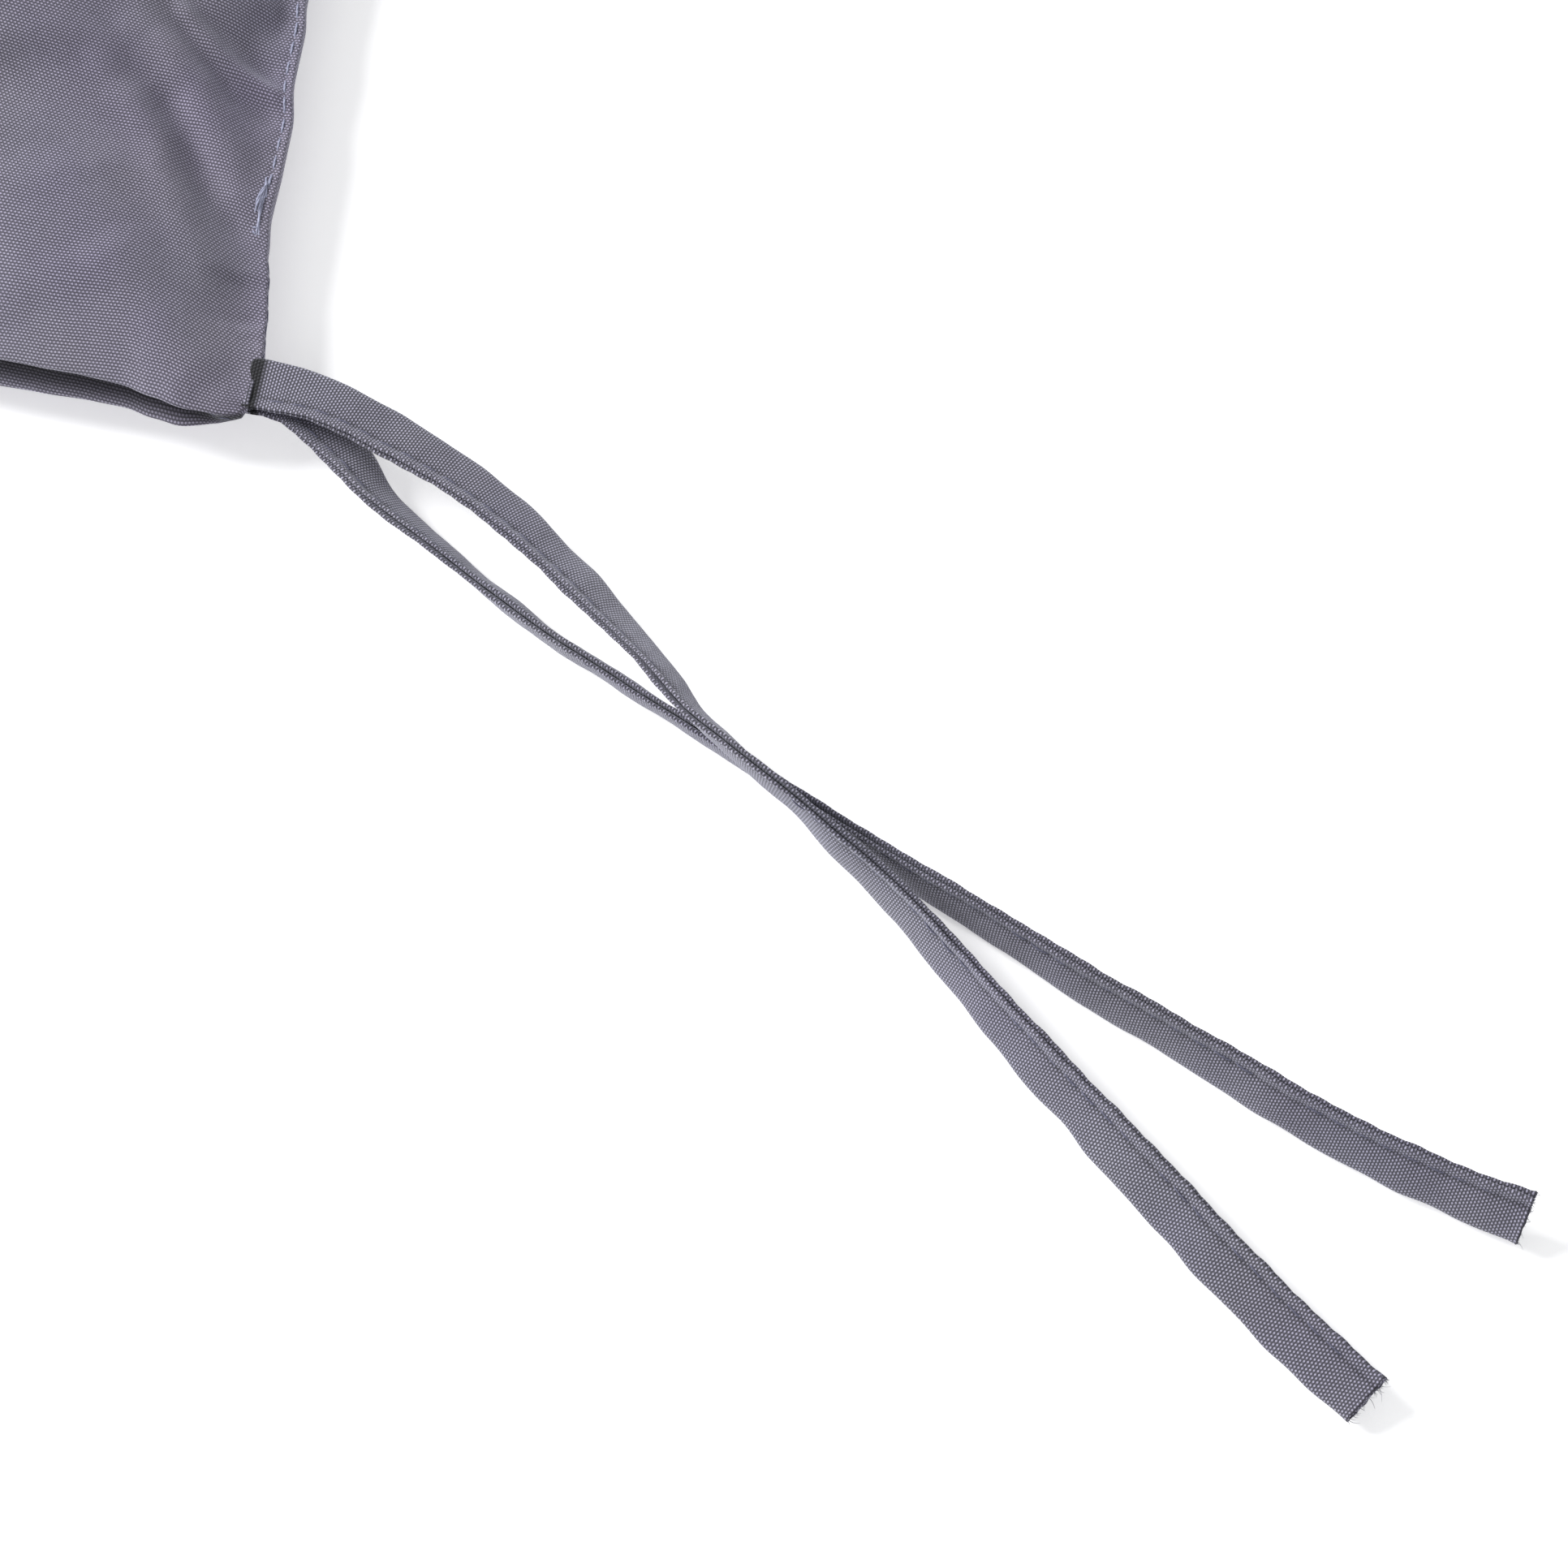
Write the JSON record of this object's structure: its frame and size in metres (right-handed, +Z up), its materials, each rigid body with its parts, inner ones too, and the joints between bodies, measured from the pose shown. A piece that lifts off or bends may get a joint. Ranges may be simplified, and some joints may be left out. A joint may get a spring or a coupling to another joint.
{
  "type": "chair seat pad",
  "caption": "Square padded seat cushion with folded fabric ties at both rear corners, a plain seam and a stitched closing lip.",
  "frame": {"origin": "under the centre of the pad, on the face that rests on the seat", "axes": "+Z up out of the seat, +Y towards the back of the chair where the ties are, +X to the sitter's left"},
  "size_m": [0.7529, 0.6407, 0.042],
  "materials": {
    "cover_cloth": "matte plain-weave polyester",
    "tie_cloth": "matte plain-weave polyester",
    "wadding": "soft fibre sheet",
    "thread": "spun polyester sewing thread"
  },
  "bodies": {
    "root": {"top_panel": "cover_cloth", "bottom_panel": "cover_cloth", "wadding_1": "wadding", "wadding_2": "wadding", "wadding_3": "wadding", "seam_thread": "thread", "closing_needle_thread": "thread", "closing_bobbin_thread": "thread", "tie_fold_right": "tie_cloth", "tie_fold_left": "tie_cloth", "tie_right_upper": "tie_cloth", "tie_right_upper_needle_thread": "thread", "tie_right_upper_bobbin_thread": "thread", "tie_right_lower": "tie_cloth", "tie_right_lower_needle_thread": "thread", "tie_right_lower_bobbin_thread": "thread", "tie_left_upper": "tie_cloth", "tie_left_upper_needle_thread": "thread", "tie_left_upper_bobbin_thread": "thread", "tie_left_lower": "tie_cloth", "tie_left_lower_needle_thread": "thread", "tie_left_lower_bobbin_thread": "thread"}
  },
  "joints": []
}
